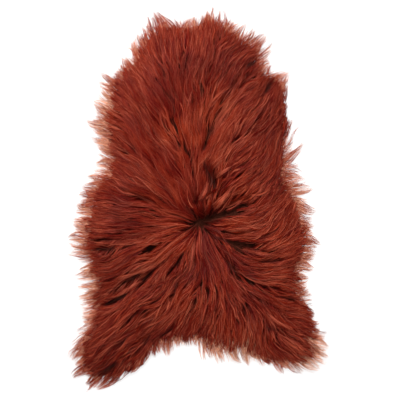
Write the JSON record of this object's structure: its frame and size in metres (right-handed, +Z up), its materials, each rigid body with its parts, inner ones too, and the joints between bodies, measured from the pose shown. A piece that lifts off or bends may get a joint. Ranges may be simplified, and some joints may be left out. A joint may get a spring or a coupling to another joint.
{
  "type": "long-haired sheepskin rug",
  "caption": "Flat rug made of one whole sheepskin: a thin tanned hide with a thick, long-haired fleece that parts at a whorl and hangs past the hide's edge in pointed locks.",
  "frame": {"origin": "on the floor under the middle of the rug's box", "axes": "+Z up out of the pile, +Y along the rug from the tail to the neck, +X to the right as seen from above"},
  "size_m": [0.73, 1.052, 0.058],
  "materials": {
    "wool": "long combed wool, dyed rust red, darker at the roots and in the partings, paler at the tips, with a soft sheen",
    "suede": "matt tanned suede, lightly stained by the same dye"
  },
  "bodies": {
    "root": {"hide": "suede", "fleece": "wool"}
  },
  "joints": []
}
